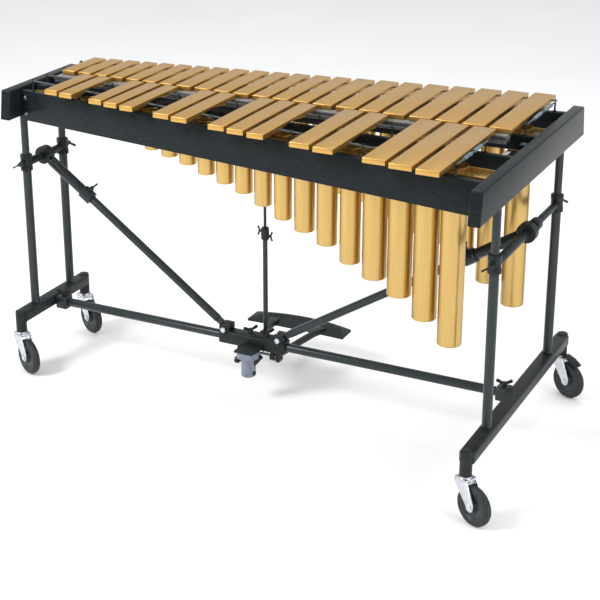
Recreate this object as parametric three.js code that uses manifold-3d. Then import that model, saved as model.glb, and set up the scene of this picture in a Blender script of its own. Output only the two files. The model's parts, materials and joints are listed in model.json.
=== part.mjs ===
// Three-octave vibraphone (F3 to F6) on a rolling, height-adjustable stand.
// Millimetres, +Z up. +X runs toward the low notes, -Y toward the audience, +Y toward the player.
// Lengths below are measured from the middle of the frame; CENTRE_X and CENTRE_Y then move the
// whole group so that its origin is at the middle of its bounding box, on the floor.
import * as THREE from "three";
import { mergeVertices } from "three/addons/utils/BufferGeometryUtils.js";
import Module from "manifold-3d";

const wasm = await Module();
wasm.setup();

// ---------------------------------------------------------------- driving dimensions
const CENTRE_X = -25.9; // group offset that centres the bounding box
const CENTRE_Y = 9.7;
const GAP = 0.3; // air between pieces that touch
const HIGH = -1; // the narrow, high-note end
const LOW = 1; // the wide, low-note end

// end blocks and aprons
const BLOCK_OUTER = 716; // outer faces of the end blocks
const BLOCK_THICK = 30;
const BLOCK_INNER = BLOCK_OUTER - BLOCK_THICK;
const BLOCK_TOP = 811;
const BLOCK_HEIGHT = 79;
const BLOCK_BOTTOM = BLOCK_TOP - BLOCK_HEIGHT;
const BLOCK_FLARE = 12; // the bottom edge is this much longer at each end
const BLOCK_Y = { high: [-156, 168], low: [-384, 376] };
const APRON_THICK = 18;
const APRON_TOP = 804;
const APRON_HEIGHT = 83;
const FRONT_FACE = [-110, -305]; // y of the front apron's face at the high and low blocks
const BACK_FACE = [124, 335]; // y of the back apron's face

// tone bars
const BAR_BOTTOM = 826;
const BAR_THICK = 13;
const BAR_GAP = 12.8;
const BAR_START = -630; // left edge of the highest natural
const BAR_WIDTHS = [38, 44, 51, 56];
const NATURALS_PER_WIDTH = [7, 7, 3, 5];
const ROW_GAP = 10; // between the two rows
const FRONT_ENDS = [[-537, -186], [578, -374.5]]; // [x, y] of the accidentals' near ends
const BACK_ENDS = [[-610, 164], [616, 352]]; // [x, y] of the naturals' far ends
const CORD_Z = 832.5;
const CORD_RADIUS = 2;
const INNER_FRONT_RAIL = [-39, -92]; // y of the rail under the accidentals' inner nodes
const INNER_BACK_RAIL = [38, 86]; // y of the rail under the naturals' inner nodes
const RAIL_THICK = 14;
const RAIL_TOP = 804;
const RAIL_HEIGHT = 38;
const POST_RADIUS = 3;
const SPRING_RADIUS = 5;
const SPRING_X = { accidental: 619, natural: 658 };
const CORD_START = -652; // where both cords of a row begin, beyond the highest bar

// resonators
const F3 = 174.61; // Hz
const SOUND_SPEED = 343000; // mm/s
const TUBE_DIAMETERS = [40, 45, 51.5, 60];
const TUBE_WALL = 1.6;
const TUBE_TOP = 800;
const TUBE_SIDES = 8;
const FRONT_TUBES = [[-537, -84], [578, -195]]; // [x, y] of the row's centre line
const BACK_TUBES = [[-610, 84], [616, 166]];
const BANK_RAIL_THICK = 2.5;
const BANK_RAIL_Z = [764, 792];
const BANK_END = 676; // the bank's rails reach this far toward the low end block
const SHAFT_RADIUS = 3;
const SHAFT_Z = 770;
const SHAFT_HOLE_RADIUS = 5;
const VANE_THICK = 1.6;

// stand
const STAND_X = 700; // posts and foot rails stand under the end blocks
const POST_Y = { high: 86, low: 235 };
const FOOT_Y = { high: 172, low: 385 };
const FOOT_TOP = 176;
const FOOT_HEIGHT = 30;
const FOOT_WIDTH = 38;
const STUB_RADIUS = 15;
const STUB_Z = [118, 179];
const LOWER_POST_RADIUS = 12;
const LOWER_POST_TOP = 600;
const INNER_POST_RADIUS = 10;
const INNER_POST_BOTTOM = 440;
const COLLAR_RADIUS = 16.5;
const COLLAR_Z = [570, 616];
const CROSS_Z = 591;
const STRETCHER_Z = 155;
const STRETCHER_RADIUS = 12;
const BRACE_FOOT = { high: [-129, 179], low: [35, 179] }; // [x, z] of the braces' lower bolts
const BRACE_JOINT = 160; // length of the thick upper tube of each brace
const BRACE_RADIUS = [14, 11]; // upper tube, lower tube

// casters
const WHEEL_RADIUS = 50;
const WHEEL_WIDTH = 24;
const CASTER_TRAIL = 32;
const CASTER_ANGLE = THREE.MathUtils.degToRad(-25); // direction in which the forks trail

// pedal and damper
const PEDAL_X = -28;
const PIVOT_Z = 122;
const ROD_Y = 34;
const ROD_RADIUS = 4;
const ROD_TUBE_RADIUS = 6.5;
const CLUTCH_Z = [438, 474];

const ENDS = [
  { name: "high", side: HIGH },
  { name: "low", side: LOW },
];

// ---------------------------------------------------------------- solids
const PAINT = {
  board: { color: 0x242a2e, roughness: 0.35, metalness: 0 },
  black: { color: 0x212629, roughness: 0.45, metalness: 0.1 },
  steel: { color: 0x3a4246, roughness: 0.35, metalness: 0.3 },
  gold: { color: 0xd1a660, roughness: 0.35, metalness: 0.9 },
  zinc: { color: 0xc8c8d6, roughness: 0.25, metalness: 1 },
  grey: { color: 0x8f8fa8, roughness: 0.4, metalness: 0.2 },
  rubber: { color: 0x2e3436, roughness: 0.7, metalness: 0 },
  felt: { color: 0x2a2a2c, roughness: 1, metalness: 0 },
};

function solid(geometry) {
  const plain = geometry.index ? geometry.toNonIndexed() : geometry.clone();
  const bare = new THREE.BufferGeometry();
  bare.setAttribute("position", plain.getAttribute("position"));
  const merged = mergeVertices(bare, 1e-4);
  return new wasm.Manifold(
    new wasm.Mesh({
      numProp: 3,
      vertProperties: merged.attributes.position.array,
      triVerts: new Uint32Array(merged.index.array),
    }),
  );
}

function box(x0, x1, y0, y1, z0, z1) {
  const g = new THREE.BoxGeometry(x1 - x0, y1 - y0, z1 - z0);
  g.translate((x0 + x1) / 2, (y0 + y1) / 2, (z0 + z1) / 2);
  return solid(g);
}

// A round bar from point a to point b; rb makes its far end another radius.
function rod(a, b, ra, sides = 16, rb = ra) {
  const from = new THREE.Vector3(...a);
  const to = new THREE.Vector3(...b);
  const along = to.clone().sub(from);
  const g = new THREE.CylinderGeometry(rb, ra, along.length(), sides);
  const turn = new THREE.Quaternion().setFromUnitVectors(
    new THREE.Vector3(0, 1, 0),
    along.clone().normalize(),
  );
  g.applyQuaternion(turn);
  g.translate(...from.add(to).multiplyScalar(0.5).toArray());
  return solid(g);
}

const upright = (x, y, z0, z1, r, sides = 16) => rod([x, y, z0], [x, y, z1], r, sides);

// A flat plate: a polygon of [u, v] points pushed out along one axis, from w0 to w1.
function plate(points, axis, w0, w1) {
  const shape = new THREE.Shape(points.map(([u, v]) => new THREE.Vector2(u, v)));
  const g = new THREE.ExtrudeGeometry(shape, { depth: w1 - w0, bevelEnabled: false });
  g.translate(0, 0, w0);
  const frames = {
    z: new THREE.Matrix4(),
    x: new THREE.Matrix4().set(0, 0, 1, 0, 1, 0, 0, 0, 0, 1, 0, 0, 0, 0, 0, 1),
    y: new THREE.Matrix4().set(1, 0, 0, 0, 0, 0, -1, 0, 0, 1, 0, 0, 0, 0, 0, 1),
  };
  g.applyMatrix4(frames[axis]);
  return solid(g);
}

function placed(part, matrix) {
  return part.transform(matrix.elements);
}

const join = (parts) => parts.reduce((a, b) => a.add(b));
const cut = (part, tools) => tools.reduce((a, b) => a.subtract(b), part);

const root = new THREE.Group();

function piece(name, part, paint) {
  const m = part.getMesh();
  const g = new THREE.BufferGeometry();
  g.setAttribute("position", new THREE.BufferAttribute(new Float32Array(m.vertProperties), 3));
  g.setIndex(new THREE.BufferAttribute(new Uint32Array(m.triVerts), 1));
  g.computeVertexNormals();
  const material = new THREE.MeshStandardMaterial(paint);
  const mesh = new THREE.Mesh(g, material);
  mesh.name = name;
  root.add(mesh);
}

// ---------------------------------------------------------------- lines in plan
// The line through two [x, y] points, as a function of x.
const through = ([[x0, y0], [x1, y1]]) => (x) => y0 + ((y1 - y0) * (x - x0)) / (x1 - x0);
const between = ([high, low]) => through([[-BLOCK_INNER, high], [BLOCK_INNER, low]]);

const frontFace = between(FRONT_FACE);
const backFace = between(BACK_FACE);
const frontEnds = through(FRONT_ENDS);
const backEnds = through(BACK_ENDS);
const cordLines = {
  front: (x) => frontFace(x) + APRON_THICK / 2,
  innerFront: between(INNER_FRONT_RAIL),
  innerBack: between(INNER_BACK_RAIL),
  back: (x) => backFace(x) - APRON_THICK / 2,
};

// A straight board between two x positions whose side faces follow a line in plan.
function board(line, y0, y1, x0, x1, z0, z1) {
  const plan = [[x0, line(x0) + y0], [x1, line(x1) + y0], [x1, line(x1) + y1], [x0, line(x0) + y1]];
  return plate(plan, "z", z0, z1);
}

// ---------------------------------------------------------------- notes
// Semitones above F3 of the naturals, from the low end up.
const OCTAVE = [0, 2, 4, 6, 7, 9, 11];
const naturals = [];
let edge = BAR_START;
NATURALS_PER_WIDTH.forEach((count, group) => {
  for (let i = 0; i < count; i++) {
    const width = BAR_WIDTHS[group];
    naturals.push({ x: edge + width / 2, width, tube: TUBE_DIAMETERS[group] });
    edge += width + BAR_GAP;
  }
});
naturals.forEach((bar, i) => {
  const fromLow = naturals.length - 1 - i;
  bar.semitone = 12 * Math.floor(fromLow / 7) + OCTAVE[fromLow % 7];
});

// Between two naturals a tone apart lies an accidental; a semitone apart, only a dummy tube.
const gaps = naturals.slice(0, -1).map((bar, i) => {
  const next = naturals[i + 1];
  return {
    x: (bar.x + next.x) / 2,
    width: Math.min(bar.width, next.width),
    tube: Math.min(bar.tube, next.tube),
    semitone: (bar.semitone + next.semitone) / 2,
    sounding: bar.semitone - next.semitone === 2,
  };
});
const accidentals = gaps.filter((gap) => gap.sounding);
const frontRow = gaps.slice(1); // the semitone gap nearest the high end has no tube

// ---------------------------------------------------------------- bars and their cords
function barRow(bars, near, far, cords, springX) {
  const cordEnd = springX;
  const parts = bars.map((bar) =>
    box(
      bar.x - bar.width / 2,
      bar.x + bar.width / 2,
      near(bar.x),
      far(bar.x),
      BAR_BOTTOM,
      BAR_BOTTOM + BAR_THICK,
    ),
  );
  const ends = cords.map((line) => [cordEnd, line(cordEnd), CORD_Z]);
  cords.forEach((line, i) => {
    parts.push(rod([CORD_START, line(CORD_START), CORD_Z], ends[i], CORD_RADIUS, 4));
  });
  // the two cord ends are drawn together by a pair of coil springs
  const y0 = ends[0][1];
  const y1 = ends[1][1];
  const along = (t) => y0 + (y1 - y0) * t;
  parts.push(rod([cordEnd, y0 - 1, CORD_Z], [cordEnd, y1 + 1, CORD_Z], CORD_RADIUS, 4));
  [[0.22, 0.46], [0.56, 0.8]].forEach(([a, b]) => {
    parts.push(rod([cordEnd, along(a), CORD_Z], [cordEnd, along(b), CORD_Z], SPRING_RADIUS, 8));
  });
  return join(parts);
}

piece(
  "bars_accidental",
  barRow(
    accidentals,
    frontEnds,
    () => -ROW_GAP / 2,
    [cordLines.front, cordLines.innerFront],
    SPRING_X.accidental,
  ),
  PAINT.gold,
);
piece(
  "bars_natural",
  barRow(
    naturals,
    () => ROW_GAP / 2,
    backEnds,
    [cordLines.innerBack, cordLines.back],
    SPRING_X.natural,
  ),
  PAINT.gold,
);

// Cord posts stand in the gaps between bars, on the line of one cord.
function cordPosts(bars, line, baseZ, springX) {
  const places = [CORD_START + 6];
  bars.slice(0, -1).forEach((bar, i) => {
    const next = bars[i + 1];
    places.push((bar.x + bar.width / 2 + next.x - next.width / 2) / 2);
  });
  places.push(springX - 4);
  const top = CORD_Z - CORD_RADIUS - GAP - 0.4;
  return places.map((x) => upright(x, line(x), baseZ - 2, top, POST_RADIUS, 4));
}

// ---------------------------------------------------------------- aprons and inner rails
const boardEnd = BLOCK_INNER - GAP;
const apronBottom = APRON_TOP - APRON_HEIGHT;

piece(
  "apron_front",
  join([
    board(frontFace, 0, APRON_THICK, -boardEnd, boardEnd, apronBottom, APRON_TOP),
    ...cordPosts(accidentals, cordLines.front, APRON_TOP, SPRING_X.accidental),
  ]),
  PAINT.board,
);
piece(
  "apron_back",
  join([
    board(backFace, -APRON_THICK, 0, -boardEnd, boardEnd, apronBottom, APRON_TOP),
    ...cordPosts(naturals, cordLines.back, APRON_TOP, SPRING_X.natural),
  ]),
  PAINT.board,
);

const TIE_X = [-380, 380]; // cross ties that also guide the damper
const TIE_Z = [768, 776];
const TIE_HALF = 14;
const GUIDE_RADIUS = 4;
const railBottom = RAIL_TOP - RAIL_HEIGHT;
const innerRails = [cordLines.innerFront, cordLines.innerBack].map((line) =>
  board(line, -RAIL_THICK / 2, RAIL_THICK / 2, -boardEnd, boardEnd, railBottom, RAIL_TOP),
);
const railPosts = [
  cordPosts(accidentals, cordLines.innerFront, RAIL_TOP, SPRING_X.accidental),
  cordPosts(naturals, cordLines.innerBack, RAIL_TOP, SPRING_X.natural),
];
["front", "back"].forEach((name, i) => {
  piece("inner_rail_" + name, join([innerRails[i], ...railPosts[i]]), PAINT.board);
});
TIE_X.forEach((x, i) => {
  // the tie's ends are cut to the slanted faces of the two rails
  const face = RAIL_THICK / 2 + GAP;
  const plan = [
    [x - TIE_HALF, cordLines.innerFront(x - TIE_HALF) + face],
    [x + TIE_HALF, cordLines.innerFront(x + TIE_HALF) + face],
    [x + TIE_HALF, cordLines.innerBack(x + TIE_HALF) - face],
    [x - TIE_HALF, cordLines.innerBack(x - TIE_HALF) - face],
  ];
  const hole = upright(x, 0, TIE_Z[0] - 5, TIE_Z[1] + 5, GUIDE_RADIUS + 0.6, 12);
  piece("damper_guide_" + ENDS[i].name, cut(plate(plan, "z", ...TIE_Z), [hole]), PAINT.board);
});

// ---------------------------------------------------------------- end blocks and sliding posts
function endBlock(side, [front, back]) {
  const profile = [
    [front - BLOCK_FLARE, BLOCK_BOTTOM],
    [back + BLOCK_FLARE, BLOCK_BOTTOM],
    [back, BLOCK_TOP],
    [front, BLOCK_TOP],
  ];
  const x0 = side === LOW ? BLOCK_INNER : -BLOCK_OUTER;
  const block = plate(profile, "x", x0, x0 + BLOCK_THICK);
  // ledges that carry the ends of the two resonator banks
  const ledgeTop = BANK_RAIL_Z[0] - GAP;
  const lines = [through(FRONT_TUBES), through(BACK_TUBES)];
  const ledges = lines.map((line) => {
    const inner = side * (BLOCK_INNER - 16);
    const outer = side * (BLOCK_INNER + 2);
    const half = side === LOW ? 36 : 18;
    const y = line(inner);
    return box(
      Math.min(inner, outer),
      Math.max(inner, outer),
      y - half,
      y + half,
      ledgeTop - 4,
      ledgeTop,
    );
  });
  return join([block, ...ledges]);
}

piece("end_block_high", endBlock(HIGH, BLOCK_Y.high), PAINT.board);
piece("end_block_low", endBlock(LOW, BLOCK_Y.low), PAINT.board);

const CORNERS = ENDS.flatMap(({ name, side }) => [
  { name: name + "_front", end: name, x: side * STAND_X, y: -POST_Y[name], facing: -1, side },
  { name: name + "_back", end: name, x: side * STAND_X, y: POST_Y[name], facing: 1, side },
]);

CORNERS.forEach(({ name, x, y }) => {
  const tube = upright(x, y, INNER_POST_BOTTOM, BLOCK_BOTTOM - GAP, INNER_POST_RADIUS, 12);
  const holes = [];
  for (let z = 634; z < 725; z += 26) {
    holes.push(rod([x - 30, y, z], [x + 30, y, z], 2.6, 4));
  }
  const bore = upright(x, y, INNER_POST_BOTTOM - 5, BLOCK_BOTTOM - 12, INNER_POST_RADIUS - 2, 8);
  piece("sliding_post_" + name, cut(tube, [bore, ...holes]), PAINT.steel);
});

// ---------------------------------------------------------------- resonators and their vanes
function resonatorBank(row, centreLine) {
  const tubes = row.map((note) => {
    const radius = note.tube / 2;
    const frequency = F3 * 2 ** (note.semitone / 12);
    const length = SOUND_SPEED / (4 * frequency) - 0.6 * radius;
    const y = centreLine(note.x);
    const bottom = TUBE_TOP - length;
    const outer = upright(note.x, y, bottom, TUBE_TOP, radius, TUBE_SIDES);
    const bore = upright(note.x, y, bottom + 2, TUBE_TOP + 5, radius - TUBE_WALL, TUBE_SIDES);
    return cut(outer, [bore]);
  });
  // a flat rail along each side of the tubes, stepping out where the tubes get wider
  const first = row[0];
  const last = row[row.length - 1];
  const steps = row.filter((note, i) => {
    const before = row[i - 1];
    const after = row[i + 1];
    return (before && before.tube !== note.tube) || (after && after.tube !== note.tube);
  });
  const stations = [{ ...first, x: -BANK_END }, ...steps, { ...last, x: BANK_END }];
  const rails = [-1, 1].map((hand) => {
    const edgeAt = (out) => (note) => [note.x, centreLine(note.x) + hand * (note.tube / 2 + out)];
    const inner = stations.map(edgeAt(-0.5));
    const outer = stations.map(edgeAt(BANK_RAIL_THICK)).reverse();
    return plate([...inner, ...outer], "z", ...BANK_RAIL_Z);
  });
  const shaftHole = rod(
    [-BLOCK_INNER, centreLine(-BLOCK_INNER), SHAFT_Z],
    [BLOCK_INNER, centreLine(BLOCK_INNER), SHAFT_Z],
    SHAFT_HOLE_RADIUS,
    4,
  );
  // cross plates close both ends of the bank
  const caps = [-BANK_END, BANK_END - 3].map((x) => {
    const at = (note) => note.tube / 2 + 1;
    const half = x < 0 ? at(first) : at(last);
    return box(x, x + 3, centreLine(x) - half, centreLine(x) + half, ...BANK_RAIL_Z);
  });
  return cut(join([...tubes, ...rails, ...caps]), [shaftHole]);
}

function vaneShaft(row, centreLine, pulleyX) {
  const reach = BLOCK_INNER - 3;
  const start = [-reach, centreLine(-reach), SHAFT_Z];
  const finish = [reach, centreLine(reach), SHAFT_Z];
  const axis = new THREE.Vector3(...finish).sub(new THREE.Vector3(...start)).normalize();
  const discs = row.map((note) => {
    const radius = (note.tube / 2 - TUBE_WALL) * Math.cos(Math.PI / TUBE_SIDES) - 1.2;
    return upright(
      note.x,
      centreLine(note.x),
      SHAFT_Z - VANE_THICK / 2,
      SHAFT_Z + VANE_THICK / 2,
      radius,
      8,
    );
  });
  const hub = new THREE.Vector3(pulleyX, centreLine(pulleyX), SHAFT_Z);
  const edgeOf = (t) => hub.clone().addScaledVector(axis, t).toArray();
  const pulley = rod(edgeOf(-3), edgeOf(3), 14, 14);
  return join([rod(start, finish, SHAFT_RADIUS, 6), ...discs, pulley]);
}

const frontTubes = through(FRONT_TUBES);
const backTubes = through(BACK_TUBES);
piece("resonators_front", resonatorBank(frontRow, frontTubes), PAINT.gold);
piece("resonators_back", resonatorBank(naturals, backTubes), PAINT.gold);
piece("vane_shaft_front", vaneShaft(frontRow, frontTubes, 622), PAINT.steel);
piece("vane_shaft_back", vaneShaft(naturals, backTubes, 660), PAINT.steel);

// ---------------------------------------------------------------- motor
const MOTOR_X = [628, BLOCK_INNER - GAP];
const MOTOR_Y = [-46, 24];
const MOTOR_Z = [726, 784];
const MOTOR_AXIS = [-12, 757]; // y, z
piece(
  "motor",
  cut(box(...MOTOR_X, ...MOTOR_Y, ...MOTOR_Z), [
    rod([MOTOR_X[0] - 2, ...MOTOR_AXIS], [MOTOR_X[0] + 20, ...MOTOR_AXIS], 3.6, 12),
  ]),
  PAINT.black,
);
piece(
  "motor_pulley",
  join([
    rod([MOTOR_X[0] - 14, ...MOTOR_AXIS], [MOTOR_X[0] + 18, ...MOTOR_AXIS], 3, 12),
    rod([MOTOR_X[0] - 13, ...MOTOR_AXIS], [MOTOR_X[0] - 3, ...MOTOR_AXIS], 9, 16),
  ]),
  PAINT.steel,
);

// ---------------------------------------------------------------- wing bolts
// Each host gets a clear hole for the shank; the bolt itself is a hub, a shank and two wings.
const SHANK_RADIUS = 3;
const SHANK_LENGTH = 8;
const HUB_RADIUS = 6.5;
const HUB_LENGTH = 13;
const WING_SPAN = 21;

// at: point on the host's face; out: direction away from the host; spin: turn of the wings.
function wingBolt(at, out, spin = 0, scale = 1) {
  const wing = (hand) =>
    plate(
      [
        [0, HUB_LENGTH - 9],
        [hand * WING_SPAN, HUB_LENGTH + 3],
        [hand * (WING_SPAN - 5), HUB_LENGTH + 9],
        [0, HUB_LENGTH - 1],
      ],
      "y",
      -2,
      2,
    );
  const upBolt = join([
    rod([0, 0, -SHANK_LENGTH], [0, 0, 2], SHANK_RADIUS, 6),
    rod([0, 0, GAP], [0, 0, HUB_LENGTH], HUB_RADIUS, 8, HUB_RADIUS - 1.5),
    wing(1),
    wing(-1),
  ]);
  return placed(upBolt, boltMatrix(at, out, spin, scale));
}

function boltMatrix(at, out, spin, scale) {
  const turn = new THREE.Quaternion().setFromUnitVectors(
    new THREE.Vector3(0, 0, 1),
    new THREE.Vector3(...out).normalize(),
  );
  const own = new THREE.Quaternion().setFromAxisAngle(new THREE.Vector3(0, 0, 1), spin);
  return new THREE.Matrix4().compose(
    new THREE.Vector3(...at),
    turn.multiply(own),
    new THREE.Vector3(scale, scale, scale),
  );
}

function boltHole(at, out, scale = 1) {
  const hole = rod([0, 0, -SHANK_LENGTH - 1], [0, 0, 6], SHANK_RADIUS + 0.7, 6);
  return placed(hole, boltMatrix(at, out, 0, scale));
}

// ---------------------------------------------------------------- foot rails, posts, collars
ENDS.forEach(({ name, side }) => {
  const x = side * STAND_X;
  const end = FOOT_Y[name];
  const stubY = end - STUB_RADIUS;
  const rail = box(
    x - FOOT_WIDTH / 2,
    x + FOOT_WIDTH / 2,
    -stubY,
    stubY,
    FOOT_TOP - FOOT_HEIGHT,
    FOOT_TOP,
  );
  const stubs = [-stubY, stubY].map((y) => upright(x, y, ...STUB_Z, STUB_RADIUS, 16));
  const bores = [-stubY, stubY].map((y) => upright(x, y, STUB_Z[0] - 5, STUB_Z[0] + 44, 6, 12));
  piece("foot_rail_" + name, cut(join([rail, ...stubs]), bores), PAINT.black);
});

CORNERS.forEach(({ name, x, y }) => {
  const outer = upright(x, y, FOOT_TOP + GAP, LOWER_POST_TOP, LOWER_POST_RADIUS, 14);
  const bore = upright(x, y, FOOT_TOP + 8, LOWER_POST_TOP + 5, INNER_POST_RADIUS + 0.5, 14);
  piece("lower_post_" + name, cut(outer, [bore]), PAINT.steel);
});

// The bolts on the post collars face outward: to the audience in front, to the player behind.
const BOSS_REACH = COLLAR_RADIUS + 6;
const collarBolts = {};
CORNERS.forEach(({ name, x, y, facing }) => {
  const out = [0, facing, 0];
  collarBolts[name] = { at: [x, y + facing * BOSS_REACH, 594], out };
});

const KNUCKLE_RADIUS = 25;
const CLAMP_Y = 40;
ENDS.forEach(({ name, side }) => {
  const x = side * STAND_X;
  const y = POST_Y[name];
  const parts = [];
  const tools = [];
  [-y, y].forEach((at) => {
    parts.push(upright(x, at, ...COLLAR_Z, COLLAR_RADIUS, 14));
    tools.push(upright(x, at, COLLAR_Z[0] - 5, LOWER_POST_TOP + GAP, LOWER_POST_RADIUS + GAP, 14));
    tools.push(upright(x, at, LOWER_POST_TOP, COLLAR_Z[1] + 5, INNER_POST_RADIUS + 0.5, 14));
  });
  const reach = y - LOWER_POST_RADIUS - 2;
  parts.push(rod([x, -reach, CROSS_Z], [x, 0, CROSS_Z], 11, 12));
  parts.push(rod([x, 0, CROSS_Z], [x, reach, CROSS_Z], name === "low" ? 9.5 : 11, 12));
  // the knuckle holds the top of the brace
  parts.push(rod([x, -15, CROSS_Z], [x, 15, CROSS_Z], KNUCKLE_RADIUS, 16));
  if (name === "low") {
    parts.push(rod([x, CLAMP_Y, CROSS_Z], [x, CLAMP_Y + 34, CROSS_Z], 16, 12));
  }
  CORNERS.filter((corner) => corner.end === name).forEach((corner) => {
    const bolt = collarBolts[corner.name];
    parts.push(rod([x, corner.y, 594], bolt.at, 8, 10));
    tools.push(boltHole(bolt.at, bolt.out));
    piece("wing_bolt_" + corner.name, wingBolt(bolt.at, bolt.out, 0.5), PAINT.black);
  });
  piece("yoke_" + name, cut(join(parts), tools), PAINT.black);
});

// ---------------------------------------------------------------- stretcher
const SOCKET_X = [STAND_X - FOOT_WIDTH / 2 - GAP - 36, STAND_X - FOOT_WIDTH / 2 - GAP];
const socketTop = STRETCHER_Z + 18;
const stretcherBolts = ENDS.map(({ name, side }) => ({
  name,
  at: [side * (SOCKET_X[0] + 18), 0, socketTop],
  out: [0, 0, 1],
}));
const stretcher = [
  rod([-SOCKET_X[0] - 4, 0, STRETCHER_Z], [SOCKET_X[0] + 4, 0, STRETCHER_Z], STRETCHER_RADIUS, 20),
];
ENDS.forEach(({ side }) => {
  const xs = [side * SOCKET_X[0], side * SOCKET_X[1]].sort((a, b) => a - b);
  stretcher.push(box(xs[0], xs[1], -18, 18, STRETCHER_Z - 18, socketTop));
});
piece(
  "stretcher",
  cut(join(stretcher), stretcherBolts.map((bolt) => boltHole(bolt.at, bolt.out))),
  PAINT.steel,
);
stretcherBolts.forEach((bolt) => {
  piece("wing_bolt_stretcher_" + bolt.name, wingBolt(bolt.at, bolt.out, 0.3), PAINT.black);
});

// ---------------------------------------------------------------- centre bracket and braces
const BRACKET_X = [-146, 54];
const BRACKET_Z = [STRETCHER_Z - 17, STRETCHER_Z + 18];
const TONGUE_HALF = 4;
const bracketBolts = [-52, -2].map((x, i) => ({
  name: i ? "low" : "high",
  at: [x, -8, BRACKET_Z[1] + 8],
  out: [0, 0, 1],
}));
const HOUSING = { x: -36, y: -52 };
const LUG_X = [[-92, -80], [24, 36]];
const bracketParts = [
  box(...BRACKET_X, -19, 19, ...BRACKET_Z),
  box(-76, 24, -19, 8, BRACKET_Z[1] - 1, BRACKET_Z[1] + 8),
  box(HOUSING.x - 28, HOUSING.x + 28, -84, -17, 150, 156),
  rod([LUG_X[0][0], 0, PIVOT_Z], [LUG_X[1][1], 0, PIVOT_Z], 4, 12),
];
LUG_X.forEach(([x0, x1]) => bracketParts.push(box(x0, x1, -13, 13, PIVOT_Z - 12, 142)));
const bracketTools = [
  rod([-200, 0, STRETCHER_Z], [200, 0, STRETCHER_Z], STRETCHER_RADIUS + GAP, 20),
  ...bracketBolts.map((bolt) => boltHole(bolt.at, bolt.out)),
];

ENDS.forEach(({ name, side }) => {
  const [footX, footZ] = BRACE_FOOT[name];
  // two ears and a cross bolt hold the brace's lower tongue
  [-1, 1].forEach((hand) => {
    const y0 = hand < 0 ? -19 : TONGUE_HALF + GAP;
    const y1 = hand < 0 ? -TONGUE_HALF - GAP : 19;
    bracketParts.push(box(footX - 15, footX + 15, y0, y1, BRACKET_Z[1] - 1, footZ + 13));
  });
  bracketParts.push(rod([footX, -26, footZ], [footX, -19, footZ], 8, 6));

  const top = new THREE.Vector3(side * STAND_X, 0, CROSS_Z);
  const foot = new THREE.Vector3(footX, 0, footZ);
  const along = top.clone().sub(foot).normalize();
  const total = top.distanceTo(foot);
  const at = (t) => foot.clone().addScaledVector(along, t).toArray();
  const up = total - KNUCKLE_RADIUS - 1;
  const split = up - BRACE_JOINT;
  const [thick, thin] = BRACE_RADIUS;

  const out = [-along.z * side, 0, Math.abs(along.x)];
  const collarFace = new THREE.Vector3(...at(split + 18)).addScaledVector(
    new THREE.Vector3(...out),
    thick + 5,
  );
  const bolt = { at: collarFace.toArray(), out };

  const upper = join([
    rod(at(split), at(up), thick, 18),
    rod(at(split), at(split + 36), thick + 5, 18),
  ]);
  const bore = rod(at(split - 5), at(split + 100), thin + 0.4, 18);
  piece("brace_upper_" + name, cut(upper, [bore, boltHole(bolt.at, bolt.out)]), PAINT.steel);
  piece("wing_bolt_brace_" + name, wingBolt(bolt.at, bolt.out, Math.PI / 2), PAINT.black);

  // lower tube, hollow up to the tongue
  const tube = cut(rod(at(34), at(split + 80), thin, 16), [
    rod(at(46), at(split + 90), thin - 2, 12),
  ]);
  const side0 = new THREE.Vector3(-along.z, 0, along.x);
  const tongueEdge = (t, w) => {
    const p = foot.clone().addScaledVector(along, t).addScaledVector(side0, w);
    return [p.x, p.z];
  };
  const tonguePlan = [tongueEdge(-9, -8), tongueEdge(44, -10), tongueEdge(44, 10), tongueEdge(-9, 8)];
  if (side < 0) tonguePlan.reverse();
  const tongue = plate(tonguePlan, "y", -TONGUE_HALF, TONGUE_HALF);
  const hole = rod([footX, -20, footZ], [footX, 20, footZ], 4.5, 12);
  piece("brace_lower_" + name, cut(tube.add(tongue), [hole]), PAINT.steel);
  // clear the bracket's top so the tongue can lie in it
  bracketTools.push(box(footX - 15.5, footX + 15.5, -TONGUE_HALF - GAP, TONGUE_HALF + GAP, 166, 200));
});
const bolted = cut(join(bracketParts), bracketTools);
const footPins = ENDS.map(({ name }) => {
  const [footX, footZ] = BRACE_FOOT[name];
  return rod([footX, -23, footZ], [footX, 23, footZ], 4, 12);
});
piece("centre_bracket", join([bolted, ...footPins]), PAINT.black);
bracketBolts.forEach((bolt) => {
  piece("wing_bolt_bracket_" + bolt.name, wingBolt(bolt.at, bolt.out, 0.9), PAINT.black);
});

piece(
  "spring_housing",
  join([
    upright(HOUSING.x, HOUSING.y, 130, 150 - GAP, 32, 24),
    upright(HOUSING.x, HOUSING.y, 76, 132, 20, 24),
  ]),
  PAINT.grey,
);

// ---------------------------------------------------------------- pedal and damper
const BOARD_HALF = 150;
const BOARD_Z = [106, 114];
const BOARD_NEAR = 208;
const BOARD_NEAR_BOW = 4;
const BOARD_FAR = 268;
const BOARD_FAR_BOW = 26;
const boardPlan = [];
const BOARD_STEPS = 8;
for (let i = 0; i <= BOARD_STEPS; i++) {
  const t = (2 * i) / BOARD_STEPS - 1;
  boardPlan.push([PEDAL_X + BOARD_HALF * t, BOARD_NEAR + BOARD_NEAR_BOW * (1 - t * t)]);
}
for (let i = BOARD_STEPS; i >= 0; i--) {
  const t = (2 * i) / BOARD_STEPS - 1;
  boardPlan.push([PEDAL_X + BOARD_HALF * t, BOARD_FAR + BOARD_FAR_BOW * (1 - t * t)]);
}
const ARM_X = [-68, 12];
const arms = ARM_X.map((x) => {
  const spread = x < PEDAL_X ? -34 : 34;
  const outline = [
    [x - 6, 12],
    [x + 6, 12],
    [x + spread + 6, 240],
    [x + spread - 6, 240],
  ];
  return plate(outline, "z", BOARD_Z[0] + 1, BOARD_Z[1] + 9);
});
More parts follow.
